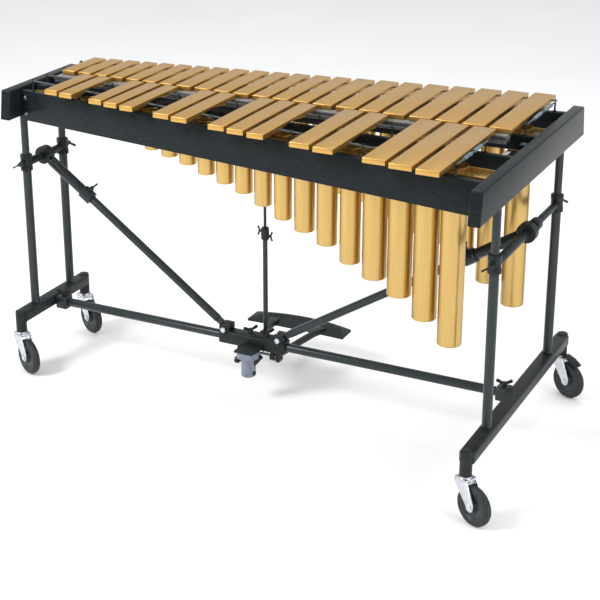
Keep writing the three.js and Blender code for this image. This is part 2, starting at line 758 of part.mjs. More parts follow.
const eyes = ARM_X.map((x) => rod([x - 6, 0, PIVOT_Z], [x + 6, 0, PIVOT_Z], 13, 20));
const webs = ARM_X.map((x) => box(x - 6, x + 6, 2, 44, BOARD_Z[0] + 1, PIVOT_Z + 8));
const pivotHoles = [rod([-100, 0, PIVOT_Z], [60, 0, PIVOT_Z], 4.6, 16)];
piece(
  "pedal",
  cut(
    join([
      plate(boardPlan, "z", ...BOARD_Z),
      ...arms,
      ...eyes,
      ...webs,
      rod([ARM_X[0], ROD_Y, PIVOT_Z], [ARM_X[1], ROD_Y, PIVOT_Z], 4, 12),
    ]),
    pivotHoles,
  ),
  PAINT.black,
);

const clutchMid = (CLUTCH_Z[0] + CLUTCH_Z[1]) / 2;
const clutchBolts = [
  { name: "high", at: [PEDAL_X - 11, ROD_Y, clutchMid + 6], out: [-1, 0, 0] },
  { name: "low", at: [PEDAL_X + 11, ROD_Y, clutchMid - 6], out: [1, 0, 0] },
];
const CLUTCH_SCALE = 0.62;
const rodBore = upright(PEDAL_X, ROD_Y, 160, CLUTCH_Z[1] + 5, ROD_RADIUS + 0.5, 12);
piece(
  "pedal_rod",
  cut(
    join([
      box(PEDAL_X - 9, PEDAL_X + 9, ROD_Y - 11, ROD_Y + 11, PIVOT_Z - 11, PIVOT_Z + 22),
      upright(PEDAL_X, ROD_Y, PIVOT_Z + 20, CLUTCH_Z[0] + 4, ROD_TUBE_RADIUS, 16),
      box(PEDAL_X - 11, PEDAL_X + 11, ROD_Y - 10, ROD_Y + 10, ...CLUTCH_Z),
    ]),
    [
      rod([PEDAL_X - 12, ROD_Y, PIVOT_Z], [PEDAL_X + 12, ROD_Y, PIVOT_Z], 6.5, 16),
      rodBore,
      ...clutchBolts.map((bolt) => boltHole(bolt.at, bolt.out, CLUTCH_SCALE)),
    ],
  ),
  PAINT.steel,
);
clutchBolts.forEach((bolt) => {
  const screw = wingBolt(bolt.at, bolt.out, 0, CLUTCH_SCALE);
  piece("wing_screw_clutch_" + bolt.name, screw, PAINT.black);
});

const DAMPER_X = 640;
const DAMPER_TOP = BAR_BOTTOM - 0.5;
const DAMPER_Z = [806, 814];
const pinBottom = 748;
piece(
  "damper_bar",
  join([
    box(-DAMPER_X, DAMPER_X, -15, 15, ...DAMPER_Z),
    box(PEDAL_X - 12, PEDAL_X + 12, 0, ROD_Y + 8, DAMPER_Z[0], DAMPER_Z[0] + 6),
    ...TIE_X.map((x) => upright(x, 0, pinBottom, DAMPER_Z[0] + 2, GUIDE_RADIUS, 12)),
  ]),
  PAINT.steel,
);
piece("damper_felt", box(-DAMPER_X, DAMPER_X, -18, 18, DAMPER_Z[1] + GAP, DAMPER_TOP), PAINT.felt);
piece(
  "damper_rod",
  upright(PEDAL_X, ROD_Y, 330, DAMPER_Z[0] - GAP, ROD_RADIUS, 12),
  PAINT.steel,
);

// ---------------------------------------------------------------- casters
const trail = new THREE.Vector3(Math.cos(CASTER_ANGLE), Math.sin(CASTER_ANGLE), 0);
const axleDirection = new THREE.Vector3(-Math.sin(CASTER_ANGLE), Math.cos(CASTER_ANGLE), 0);
CORNERS.forEach(({ name, end, x, facing }) => {
  const stemY = facing * (FOOT_Y[end] - STUB_RADIUS);
  const axle = new THREE.Vector3(x, stemY, WHEEL_RADIUS).addScaledVector(trail, CASTER_TRAIL);
  const side = (t) => axle.clone().addScaledVector(axleDirection, t).toArray();
  // local frame: x along the trail, y along the axle, origin on the stem's axis at the floor
  const place = new THREE.Matrix4()
    .makeRotationZ(CASTER_ANGLE)
    .setPosition(new THREE.Vector3(x, stemY, 0));
  const cheekPlan = [
    [-20, 114],
    [20, 114],
    [CASTER_TRAIL + 12, 52],
    [CASTER_TRAIL + 6, 40],
    [CASTER_TRAIL - 6, 40],
    [CASTER_TRAIL - 12, 50],
    [-20, 100],
  ].reverse();
  const cheekIn = WHEEL_WIDTH / 2 + 1.5;
  const cheeks = [
    plate(cheekPlan, "y", -cheekIn - 3.5, -cheekIn),
    plate(cheekPlan, "y", cheekIn, cheekIn + 3.5),
  ];
  const crown = [
    box(-20, 20, -cheekIn - 3.5, cheekIn + 3.5, 106, 114),
    upright(0, 0, 105, STUB_Z[0] - GAP, 17, 14),
    upright(0, 0, 110, STUB_Z[0] + 40, 5.4, 12),
  ];
  const pin = rod([CASTER_TRAIL, -cheekIn - 6, 50], [CASTER_TRAIL, cheekIn + 6, 50], 5, 10);
  piece("caster_fork_" + name, placed(join([...cheeks, ...crown, pin]), place), PAINT.zinc);

  const half = WHEEL_WIDTH / 2;
  const tyre = rod(side(-half + 4), side(half - 4), WHEEL_RADIUS, 22);
  const body = join([
    tyre,
    rod(side(-half), side(half), WHEEL_RADIUS - 5, 22),
  ]);
  piece("caster_wheel_" + name, cut(body, [rod(side(-20), side(20), 5.8, 10)]), PAINT.rubber);
});

root.position.set(CENTRE_X, CENTRE_Y, 0);
export default root;
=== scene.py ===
import json
import math

import bmesh
import bpy
from mathutils import Matrix, Quaternion, Vector


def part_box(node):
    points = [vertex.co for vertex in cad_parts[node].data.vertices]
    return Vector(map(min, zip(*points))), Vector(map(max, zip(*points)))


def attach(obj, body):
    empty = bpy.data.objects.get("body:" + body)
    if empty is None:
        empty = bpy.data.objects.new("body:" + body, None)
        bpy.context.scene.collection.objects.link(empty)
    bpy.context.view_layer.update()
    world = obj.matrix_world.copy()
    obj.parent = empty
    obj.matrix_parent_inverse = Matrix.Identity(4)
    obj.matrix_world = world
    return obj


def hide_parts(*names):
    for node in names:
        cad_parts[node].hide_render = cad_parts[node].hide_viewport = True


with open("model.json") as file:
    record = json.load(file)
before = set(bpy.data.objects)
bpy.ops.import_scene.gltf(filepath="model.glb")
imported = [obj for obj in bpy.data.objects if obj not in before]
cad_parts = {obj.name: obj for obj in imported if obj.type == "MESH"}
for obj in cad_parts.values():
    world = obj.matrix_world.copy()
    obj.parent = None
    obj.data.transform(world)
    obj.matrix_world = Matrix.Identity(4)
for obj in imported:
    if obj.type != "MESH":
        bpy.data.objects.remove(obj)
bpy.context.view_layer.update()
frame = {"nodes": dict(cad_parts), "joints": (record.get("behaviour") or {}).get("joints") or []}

# ---------------------------------------------------------------- frame
# Shapes are written in millimetres from the middle of the stand, which is the middle of the stretcher.
MM = 0.001
stretcher_low, stretcher_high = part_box("stretcher")
middle = (stretcher_low + stretcher_high) / 2
TO_ROW = Matrix.Translation((middle.x, middle.y, 0)) @ Matrix.Diagonal((MM, MM, MM, 1))
FROM_ROW = TO_ROW.inverted()
joints = {joint["name"]: joint for joint in frame["joints"]}


def box_mm(node):
    """Lowest and highest corner of a CAD node, in the millimetres of this script."""
    low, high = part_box(node)
    return FROM_ROW @ low, FROM_ROW @ high


def joint_mm(name):
    """A joint's point in millimetres, and its axis."""
    return FROM_ROW @ Vector(joints[name]["pos_m"]), Vector(joints[name]["axis"]).normalized()


ENDS = (("high", -1), ("low", 1))
block_low, block_high = box_mm("end_block_low")
BLOCK_INNER = 686
BLOCK_OUTER = block_high.x
BLOCK_TOP = block_high.z
BLOCK_BOTTOM = block_low.z
BLOCK_FLARE = 12
APRON_TOP = 804
APRON_BOTTOM = box_mm("apron_front")[0].z
APRON_THICK = 18
RAIL_TOP = 804
RAIL_BOTTOM = box_mm("inner_rail_front")[0].z
RAIL_THICK = 14
BAR_BOTTOM = 826
BAR_TOP = box_mm("bars_natural")[1].z
BAR_GAP = 12.8
BAR_START = -630
BAR_WIDTHS = (38, 44, 51, 56)
NATURALS_PER_WIDTH = (7, 7, 3, 5)
ROW_GAP = 10
CORD_Z = 832.5
CORD_RADIUS = 2
CORD_START = -652
SPRING_X = {"accidental": 619, "natural": 658}
TUBE_DIAMETERS = (40, 45, 51.5, 60)
TUBE_WALL = 1.6
TUBE_TOP = box_mm("resonators_back")[1].z
BANK_RAIL_Z = (764, 792)
BANK_END = 676
SHAFT_Z = 770
F3 = 174.61
SOUND_SPEED = 343000
STAND_X = 700


# ---------------------------------------------------------------- mesh tools
ON_AXIS = 1e-6
SHARP_TO_BEVEL = math.radians(24)
SHARP_TO_SHADE = math.radians(32)


def circle(bm, centre, across, other, radius, sides):
    """Adds the vertices of one circle."""
    turn = [2 * math.pi * i / sides for i in range(sides)]
    return [bm.verts.new(centre + (across * math.cos(a) + other * math.sin(a)) * radius) for a in turn]


def turned(bm, profile, start, direction, sides=40, ring=False):
    """Adds a lathe solid of (distance along, radius) pairs, from axis to axis or as a closed ring."""
    axis = Vector(direction).normalized()
    across = axis.orthogonal().normalized()
    other = axis.cross(across)
    loops = []
    for along, radius in profile:
        centre = Vector(start) + axis * along
        if radius < ON_AXIS:
            loops.append([bm.verts.new(centre)])
        else:
            loops.append(circle(bm, centre, across, other, radius, sides))
    pairs = list(zip(loops, loops[1:]))
    if ring:
        pairs.append((loops[-1], loops[0]))
    for low, high in pairs:
        for i in range(sides):
            j = (i + 1) % sides
            corners = [low[i % len(low)], low[j % len(low)], high[j % len(high)], high[i % len(high)]]
            corners = list(dict.fromkeys(corners))
            if len(corners) > 2:
                bm.faces.new(corners)


def rod(bm, a, b, radius, far=None, edge=0.6, sides=32):
    """A round bar from a to b with softened ends; far is its radius at b."""
    far = radius if far is None else far
    span = Vector(b) - Vector(a)
    length = span.length
    edge = min(edge, radius / 3, far / 3, length / 3)
    near = [(0, 0), (0, radius - edge), (edge * 0.3, radius - edge * 0.3), (edge, radius)]
    end = [(length - edge, far), (length - edge * 0.3, far - edge * 0.3), (length, far - edge), (length, 0)]
    turned(bm, near + end, a, span, sides)


def pipe(bm, a, b, outer, inner, edge=0.5, sides=40):
    """A tube open at both ends."""
    span = Vector(b) - Vector(a)
    length = span.length
    profile = [
        (edge, outer), (length - edge, outer), (length, outer - edge), (length, inner + edge / 2),
        (length - edge / 2, inner), (edge / 2, inner), (0, inner + edge / 2), (0, outer - edge),
    ]
    turned(bm, profile, a, span, sides, ring=True)


def torus(bm, centre, direction, major, minor, sides=20, around=10):
    """A ring of round section about an axis."""
    turn = [2 * math.pi * i / around for i in range(around)]
    profile = [(minor * math.sin(a), major + minor * math.cos(a)) for a in turn]
    turned(bm, profile, centre, direction, sides, ring=True)


AXES = {
    "z": lambda u, v, w: (u, v, w),
    "x": lambda u, v, w: (w, u, v),
    "y": lambda u, v, w: (u, w, v),
}


def slab(bm, outline, axis, w0, w1, edge=1.0, segments=2, matrix=None):
    """A flat plate: an outline pushed out along one axis, with its sharp edges rounded."""
    part = bmesh.new()
    rims = [[part.verts.new(AXES[axis](u, v, w)) for u, v in outline] for w in (w0, w1)]
    part.faces.new(rims[0])
    part.faces.new(rims[1])
    count = len(outline)
    for i in range(count):
        j = (i + 1) % count
        part.faces.new((rims[0][i], rims[0][j], rims[1][j], rims[1][i]))
    bmesh.ops.recalc_face_normals(part, faces=part.faces[:])
    if edge:
        sharp = [e for e in part.edges if e.calc_face_angle(0) > SHARP_TO_BEVEL]
        bmesh.ops.bevel(part, geom=sharp, offset=edge, segments=segments, affect="EDGES", profile=0.5,
                        clamp_overlap=True)
    if matrix is not None:
        bmesh.ops.transform(part, matrix=matrix, verts=part.verts[:])
    merge(bm, part)


def merge(bm, part):
    """Adds one bmesh to another and frees it."""
    mesh = bpy.data.meshes.new("part")
    part.to_mesh(mesh)
    part.free()
    bm.from_mesh(mesh)
    bpy.data.meshes.remove(mesh)


def block(bm, low, high, edge=1.0, segments=2):
    """A box between two corners with rounded edges."""
    outline = [(low[0], low[1]), (high[0], low[1]), (high[0], high[1]), (low[0], high[1])]
    slab(bm, outline, "z", low[2], high[2], edge, segments)


def swept(bm, points, radius, sides=6):
    """A round wire along a list of points."""
    points = [Vector(p) for p in points]
    rims = []
    across = (points[1] - points[0]).orthogonal().normalized()
    for i, point in enumerate(points):
        along = (points[min(i + 1, len(points) - 1)] - points[max(i - 1, 0)]).normalized()
        across = (across - along * across.dot(along)).normalized()
        rims.append(circle(bm, point, across, along.cross(across), radius, sides))
    for low, high in zip(rims, rims[1:]):
        for k in range(sides):
            m = (k + 1) % sides
            bm.faces.new((low[k], low[m], high[m], high[k]))
    bm.faces.new(rims[0])
    bm.faces.new(rims[-1])


def piece(name, bm, body, material, slot, *nodes):
    """Makes an object of a bmesh in millimetres that rides on a body and stands for CAD nodes."""
    bmesh.ops.recalc_face_normals(bm, faces=bm.faces[:])
    mesh = bpy.data.meshes.new(name)
    bm.to_mesh(mesh)
    bm.free()
    mesh.transform(TO_ROW)
    mesh.shade_smooth()
    mesh.set_sharp_from_angle(angle=SHARP_TO_SHADE)
    mesh.materials.append(material)
    made = bpy.data.objects.new(name, mesh)
    bpy.context.scene.collection.objects.link(made)
    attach(made, body)
    if nodes:
        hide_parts(*nodes)
    return made


# ---------------------------------------------------------------- materials
def surface(name, dark, light, roughness, metallic=0.0, grain=(60, 60, 60), bump=0.05, detail=4.0,
            coat=0.0, sheen=0.0, spread=0.08, fine=900, specular=0.5):
    """A Principled material whose colour, roughness and relief vary with two sizes of noise."""
    material = bpy.data.materials.new(name)
    material.use_nodes = True
    nodes, links = material.node_tree.nodes, material.node_tree.links
    shader = nodes["Principled BSDF"]
    shader.inputs["Metallic"].default_value = metallic
    shader.inputs["Specular IOR Level"].default_value = specular
    shader.inputs["Coat Weight"].default_value = coat
    shader.inputs["Coat Roughness"].default_value = 0.18
    shader.inputs["Sheen Weight"].default_value = sheen
    place = nodes.new("ShaderNodeTexCoord")
    stretch = nodes.new("ShaderNodeMapping")
    stretch.inputs["Scale"].default_value = grain
    links.new(place.outputs["Object"], stretch.inputs["Vector"])
    broad = nodes.new("ShaderNodeTexNoise")
    broad.inputs["Scale"].default_value = 1.0
    broad.inputs["Detail"].default_value = detail
    links.new(stretch.outputs["Vector"], broad.inputs["Vector"])
    ramp = nodes.new("ShaderNodeValToRGB")
    ramp.color_ramp.elements[0].position = 0.3
    ramp.color_ramp.elements[0].color = (*dark, 1)
    ramp.color_ramp.elements[1].position = 0.7
    ramp.color_ramp.elements[1].color = (*light, 1)
    links.new(broad.outputs["Fac"], ramp.inputs["Fac"])
    links.new(ramp.outputs["Color"], shader.inputs["Base Color"])
    level = nodes.new("ShaderNodeMapRange")
    level.inputs["To Min"].default_value = roughness - spread
    level.inputs["To Max"].default_value = roughness + spread
    links.new(broad.outputs["Fac"], level.inputs["Value"])
    links.new(level.outputs["Result"], shader.inputs["Roughness"])
    small = nodes.new("ShaderNodeTexNoise")
    small.inputs["Scale"].default_value = fine
    small.inputs["Detail"].default_value = 3.0
    links.new(place.outputs["Object"], small.inputs["Vector"])
    relief = nodes.new("ShaderNodeMath")
    relief.operation = "ADD"
    links.new(broad.outputs["Fac"], relief.inputs[0])
    links.new(small.outputs["Fac"], relief.inputs[1])
    dent = nodes.new("ShaderNodeBump")
    dent.inputs["Strength"].default_value = bump
    dent.inputs["Distance"].default_value = 0.0004
    links.new(relief.outputs["Value"], dent.inputs["Height"])
    links.new(dent.outputs["Normal"], shader.inputs["Normal"])
    return material


def braided():
    """The cord's woven cover: fine diagonal bands, black with a blue-grey thread."""
    material = surface("braided_cord", (0.012, 0.014, 0.016), (0.05, 0.06, 0.07), 0.75, bump=0.3, sheen=0.3)
    nodes, links = material.node_tree.nodes, material.node_tree.links
    bands = nodes.new("ShaderNodeTexWave")
    bands.bands_direction = "DIAGONAL"
    bands.inputs["Scale"].default_value = 260
    bands.inputs["Distortion"].default_value = 0.4
    place = next(n for n in nodes if n.type == "TEX_COORD")
    ramp = next(n for n in nodes if n.type == "VALTORGB")
    dent = next(n for n in nodes if n.type == "BUMP")
    links.new(place.outputs["Object"], bands.inputs["Vector"])
    links.new(bands.outputs["Fac"], ramp.inputs["Fac"])
    links.new(bands.outputs["Fac"], dent.inputs["Height"])
    return material


BAR_GOLD = surface("bar_gold", (0.55, 0.32, 0.085), (0.64, 0.385, 0.115), 0.34, 0.92, (1400, 25, 1400), 0.10,
                   spread=0.06)
TUBE_GOLD = surface("tube_gold", (0.52, 0.345, 0.115), (0.60, 0.405, 0.145), 0.30, 0.92, (700, 700, 9), 0.08,
                    spread=0.06)
BOARD = surface("black_lacquered_board", (0.007, 0.010, 0.011), (0.014, 0.019, 0.021), 0.30,
                grain=(9, 300, 300), bump=0.02, specular=0.11)
CASTING = surface("black_powder_coat", (0.008, 0.011, 0.012), (0.018, 0.023, 0.024), 0.40,
                  grain=(50, 50, 50), bump=0.22, specular=0.22)
TUBE_COAT = surface("dark_tube_coat", (0.016, 0.023, 0.025), (0.020, 0.028, 0.031), 0.26, grain=(40, 40, 40),
                    bump=0.03, specular=0.32, spread=0.03)
BOLT = surface("blackened_bolt", (0.006, 0.008, 0.009), (0.016, 0.020, 0.022), 0.34, 0.1, (160, 160, 160),
               bump=0.2, specular=0.3)
STEEL = surface("dull_steel", (0.16, 0.175, 0.19), (0.28, 0.30, 0.32), 0.36, 0.9, (90, 90, 90), 0.12)
ZINC = surface("bright_zinc", (0.52, 0.53, 0.58), (0.70, 0.71, 0.76), 0.24, 0.95, (120, 120, 120), 0.10)
GREY = surface("grey_blue_paint", (0.12, 0.15, 0.19), (0.22, 0.24, 0.32), 0.38, 0.2, (60, 60, 60), 0.25,
               coat=0.2)
RUBBER = surface("wheel_rubber", (0.014, 0.018, 0.020), (0.028, 0.034, 0.037), 0.60, grain=(90, 90, 90),
                 bump=0.4, specular=0.3)
HUB = surface("wheel_hub_plastic", (0.016, 0.021, 0.023), (0.030, 0.037, 0.040), 0.42, grain=(60, 60, 60),
              bump=0.2, specular=0.35)
FELT = surface("wool_felt", (0.010, 0.010, 0.011), (0.028, 0.028, 0.030), 0.92, grain=(500, 500, 500),
               bump=0.8, sheen=0.6)
CASE = surface("motor_case_plastic", (0.007, 0.009, 0.010), (0.014, 0.018, 0.020), 0.45, grain=(80, 80, 80),
               bump=0.35, specular=0.2)
BRACKET = surface("blue_grey_bracket", (0.13, 0.17, 0.20), (0.20, 0.25, 0.28), 0.38, 0.5, (70, 70, 70), 0.15)
LABEL = surface("blank_label", (0.70, 0.70, 0.68), (0.80, 0.80, 0.78), 0.5, grain=(60, 60, 60), bump=0.05)
CORD = braided()


# ---------------------------------------------------------------- lines in plan and notes
def through(x0, y0, x1, y1):
    return lambda x: y0 + (y1 - y0) * (x - x0) / (x1 - x0)


def between(high, low):
    return through(-BLOCK_INNER, high, BLOCK_INNER, low)


front_face = between(-110, -305)
back_face = between(124, 335)
front_ends = through(-537, -186, 578, -374.5)
back_ends = through(-610, 164, 616, 352)
front_tubes = through(-537, -84, 578, -195)
back_tubes = through(-610, 84, 616, 166)
inner_front = between(-39, -92)
inner_back = between(38, 86)


def front_cord(x):
    return front_face(x) + APRON_THICK / 2


def back_cord(x):
    return back_face(x) - APRON_THICK / 2


OCTAVE = (0, 2, 4, 6, 7, 9, 11)
naturals = []
left = BAR_START
for group, count in enumerate(NATURALS_PER_WIDTH):
    for _ in range(count):
        width = BAR_WIDTHS[group]
        naturals.append({"x": left + width / 2, "width": width, "tube": TUBE_DIAMETERS[group]})
        left += width + BAR_GAP
for i, bar in enumerate(reversed(naturals)):
    bar["semitone"] = 12 * (i // 7) + OCTAVE[i % 7]

gaps = []
for bar, after in zip(naturals, naturals[1:]):
    gaps.append({
        "x": (bar["x"] + after["x"]) / 2,
        "width": min(bar["width"], after["width"]),
        "tube": min(bar["tube"], after["tube"]),
        "semitone": (bar["semitone"] + after["semitone"]) / 2,
        "sounding": bar["semitone"] - after["semitone"] == 2,
    })
accidentals = [gap for gap in gaps if gap["sounding"]]
front_row = gaps[1:]


# ---------------------------------------------------------------- bars, cords, springs
ARCH = (0.30, 0.70)          # the part of a bar's length that is tuned away underneath
ARCH_DEPTH = 5.5
ARCH_STEPS = 12
# along the span that joins a row's two cords at the low end, as shares of its length
CORD_SPANS = ((0, 0.22), (0.46, 0.56), (0.8, 1))
SPRING_SPANS = ((0.22, 0.46), (0.56, 0.8))


def tone_bar(bm, x, width, near, far):
    """One bar: a flat top, rounded edges and a tuning arch cut in its underside."""
    outline = [(near, BAR_TOP), (near, BAR_BOTTOM)]
    length = far - near
    for k in range(ARCH_STEPS + 1):
        t = k / ARCH_STEPS
        y = near + length * (ARCH[0] + (ARCH[1] - ARCH[0]) * t)
        outline.append((y, BAR_BOTTOM + ARCH_DEPTH * math.sin(math.pi * t) ** 0.8))
    outline += [(far, BAR_BOTTOM), (far, BAR_TOP)]
    slab(bm, outline, "x", x - width / 2, x + width / 2, edge=1.3, segments=3)


def coil(bm, x, y0, y1):
    """A close-wound coil spring lying along Y."""
    radius, wire, pitch, steps = 3.9, 0.85, 2.3, 12
    turns = int(abs(y1 - y0) / pitch)
    points = []
    for k in range(turns * steps + 1):
        t = k / (turns * steps)
        angle = 2 * math.pi * turns * t
        points.append((x + radius * math.cos(angle), y0 + (y1 - y0) * t, CORD_Z + radius * math.sin(angle)))
    swept(bm, points, wire)


def bar_row(kind, bars, near, far, lines, node):
    for number, bar in enumerate(bars, 1):
        bm = bmesh.new()
        tone_bar(bm, bar["x"], bar["width"], near(bar["x"]), far(bar["x"]))
        piece(f"{kind}_bar_{number:02d}", bm, "keyboard", BAR_GOLD, "bar_gold", node)
    end = SPRING_X[kind]
    bm = bmesh.new()
    for line in lines:
        rod(bm, (CORD_START, line(CORD_START), CORD_Z), (end, line(end), CORD_Z), CORD_RADIUS, sides=12)
    y0, y1 = (line(end) for line in lines)
    for a, b in CORD_SPANS:
        rod(bm, (end, y0 + (y1 - y0) * a, CORD_Z), (end, y0 + (y1 - y0) * b, CORD_Z), CORD_RADIUS, sides=12)
    piece(f"{kind}_cords", bm, "keyboard", CORD, "bar_gold", node)
    bm = bmesh.new()
    for a, b in SPRING_SPANS:
        coil(bm, end, y0 + (y1 - y0) * a, y0 + (y1 - y0) * b)
    piece(f"{kind}_cord_springs", bm, "keyboard", BRACKET, "bar_gold", node)


bar_row("accidental", accidentals, front_ends, lambda x: -ROW_GAP / 2, (front_cord, inner_front),
        "bars_accidental")
bar_row("natural", naturals, lambda x: ROW_GAP / 2, back_ends, (inner_back, back_cord), "bars_natural")


# ---------------------------------------------------------------- boards, cord posts, end blocks
def post_places(bars, end):
    places = [CORD_START + 6]
    for bar, after in zip(bars, bars[1:]):
        places.append((bar["x"] + bar["width"] / 2 + after["x"] - after["width"] / 2) / 2)
    return places + [end - 4]


def cord_posts(name, bars, kind, line, base, node):
    """Turned posts with a foot and an eye that the cord runs through."""
    bm = bmesh.new()
    slope = Vector((1, line(1) - line(0), 0))
    for x in post_places(bars, SPRING_X[kind]):
        y = line(x)
        rise = CORD_Z - base
        foot = [(0, 0), (0, 4.6), (1.6, 4.6), (3.2, 3.2), (5, 2.5), (rise - 4.4, 2.3), (rise - 3.4, 0)]
        turned(bm, foot, (x, y, base), (0, 0, 1), 16)
        torus(bm, (x, y, CORD_Z), slope, 3.9, 1.25)
    piece(name, bm, "keyboard", BOLT, "black_board", node)


def board(bm, line, y0, y1, z0, z1, end=BLOCK_INNER - 0.3, edge=1.6):
    high, low = line(-end), line(end)
    outline = [(-end, high + y0), (end, low + y0), (end, low + y1), (-end, high + y1)]
    slab(bm, outline, "z", z0, z1, edge, 3)


def plank(name, line, y0, y1, z0, z1, node):
    bm = bmesh.new()
    board(bm, line, y0, y1, z0, z1)
    piece(name, bm, "keyboard", BOARD, "black_board", node)


plank("apron_front_board", front_face, 0, APRON_THICK, APRON_BOTTOM, APRON_TOP, "apron_front")
plank("apron_back_board", back_face, -APRON_THICK, 0, APRON_BOTTOM, APRON_TOP, "apron_back")
half_rail = RAIL_THICK / 2
for rail, line in (("inner_rail_front", inner_front), ("inner_rail_back", inner_back)):
    plank(rail + "_board", line, -half_rail, half_rail, RAIL_BOTTOM, RAIL_TOP, rail)
cord_posts("cord_posts_front", accidentals, "accidental", front_cord, APRON_TOP, "apron_front")
cord_posts("cord_posts_inner_front", accidentals, "accidental", inner_front, RAIL_TOP, "inner_rail_front")
cord_posts("cord_posts_inner_back", naturals, "natural", inner_back, RAIL_TOP, "inner_rail_back")
cord_posts("cord_posts_back", naturals, "natural", back_cord, APRON_TOP, "apron_back")

SCREW = ((0, 0), (0, 5.2), (0.9, 5), (1.8, 3.8), (2.1, 2.4), (2.1, 1.7), (0.7, 1.3), (0.7, 0))


def screws():
    """Round-headed screws near each end of both aprons."""
    bm = bmesh.new()
    for face, out in ((front_face, -1), (back_face, 1)):
        for x in (-BLOCK_INNER + 14, BLOCK_INNER - 14):
            for z in (APRON_TOP - 20, APRON_BOTTOM + 20):
                turned(bm, SCREW, (x, face(x), z), (0, out, 0), 20)
    piece("apron_screws", bm, "keyboard", STEEL, "steel")


def end_block(name, side):
    low, high = box_mm("end_block_" + name)
    outline = [(low.y, BLOCK_BOTTOM), (high.y, BLOCK_BOTTOM), (high.y - BLOCK_FLARE, BLOCK_TOP),
               (low.y + BLOCK_FLARE, BLOCK_TOP)]
    inner, outer = sorted((side * BLOCK_INNER, side * BLOCK_OUTER))
    bm = bmesh.new()
    slab(bm, outline, "x", inner, outer, 4, 4)
    half = 36 if side > 0 else 18
    for line in (front_tubes, back_tubes):
        a, b = sorted((side * (BLOCK_INNER - 16), side * (BLOCK_INNER + 1)))
        y = line(side * (BLOCK_INNER - 16))
        block(bm, (a, y - half, BANK_RAIL_Z[0] - 4.3), (b, y + half, BANK_RAIL_Z[0] - 0.3), 0.8)
    piece(f"end_block_{name}_body", bm, "keyboard", BOARD, "black_board", "end_block_" + name)


screws()
for name, side in ENDS:
    end_block(name, side)


# ---------------------------------------------------------------- resonators, vanes, motor
def resonator(bm, note, y):
    radius = note["tube"] / 2
    frequency = F3 * 2 ** (note["semitone"] / 12)
    length = SOUND_SPEED / (4 * frequency) - 0.6 * radius
    inside = radius - TUBE_WALL
    profile = [
        (0, 0), (0, radius - 3), (0.6, radius - 1.2), (1.8, radius - 0.3), (3.5, radius),
        (length - 0.5, radius), (length, radius - 0.5), (length, inside + 0.3), (length - 0.4, inside),
        (TUBE_WALL, inside), (TUBE_WALL, 0),
    ]
    turned(bm, profile, (note["x"], y, TUBE_TOP - length), (0, 0, 1), 56)


def bank(name, row, line, node):
    for number, note in enumerate(row, 1):
        bm = bmesh.new()
        resonator(bm, note, line(note["x"]))
        piece(f"resonator_{name}_{number:02d}", bm, "keyboard", TUBE_GOLD, "tube_gold", node)
    steps = []
    for i, note in enumerate(row):
        beside = row[max(i - 1, 0):i] + row[i + 1:i + 2]
        if any(other["tube"] != note["tube"] for other in beside):
            steps.append(note)
    stations = [dict(row[0], x=-BANK_END)] + steps + [dict(row[-1], x=BANK_END)]
    bm = bmesh.new()
    for hand in (-1, 1):
        inner, outer = (
            [(s["x"], line(s["x"]) + hand * (s["tube"] / 2 + out)) for s in stations] for out in (0.1, 2.5))
        slab(bm, inner + outer[::-1], "z", *BANK_RAIL_Z, edge=0.5)
    for x, note in ((-BANK_END, row[0]), (BANK_END - 3, row[-1])):
        half = note["tube"] / 2 + 1
        block(bm, (x, line(x) - half, BANK_RAIL_Z[0]), (x + 3, line(x) + half, BANK_RAIL_Z[1]), 0.5)
    piece(f"resonator_rails_{name}", bm, "keyboard", TUBE_GOLD, "tube_gold", node)


def vanes(name, row, line, pulley_x, node):
    reach = BLOCK_INNER - 3
    a, b = Vector((-reach, line(-reach), SHAFT_Z)), Vector((reach, line(reach), SHAFT_Z))
    bm = bmesh.new()
    rod(bm, a, b, 3, sides=16)
    for note in row:
        radius = note["tube"] / 2 - TUBE_WALL - 1.6
        at = (note["x"], line(note["x"]), SHAFT_Z - 0.8)
        turned(bm, [(0, 0), (0, radius), (1.6, radius), (1.6, 0)], at, (0, 0, 1), 32)
    hub = (pulley_x, line(pulley_x), SHAFT_Z)
    groove = [(-3, 0), (-3, 13.6), (-2.6, 14), (-1.6, 14), (-0.6, 11.6), (0.6, 11.6), (1.6, 14), (2.6, 14),
              (3, 13.6), (3, 0)]
    turned(bm, groove, hub, b - a, 36)
    piece(f"vanes_{name}", bm, f"{name}_vanes", STEEL, "steel", node)


bank("front", front_row, front_tubes, "resonators_front")
bank("back", naturals, back_tubes, "resonators_back")
vanes("front", front_row, front_tubes, 622, "vane_shaft_front")
vanes("back", naturals, back_tubes, 660, "vane_shaft_back")


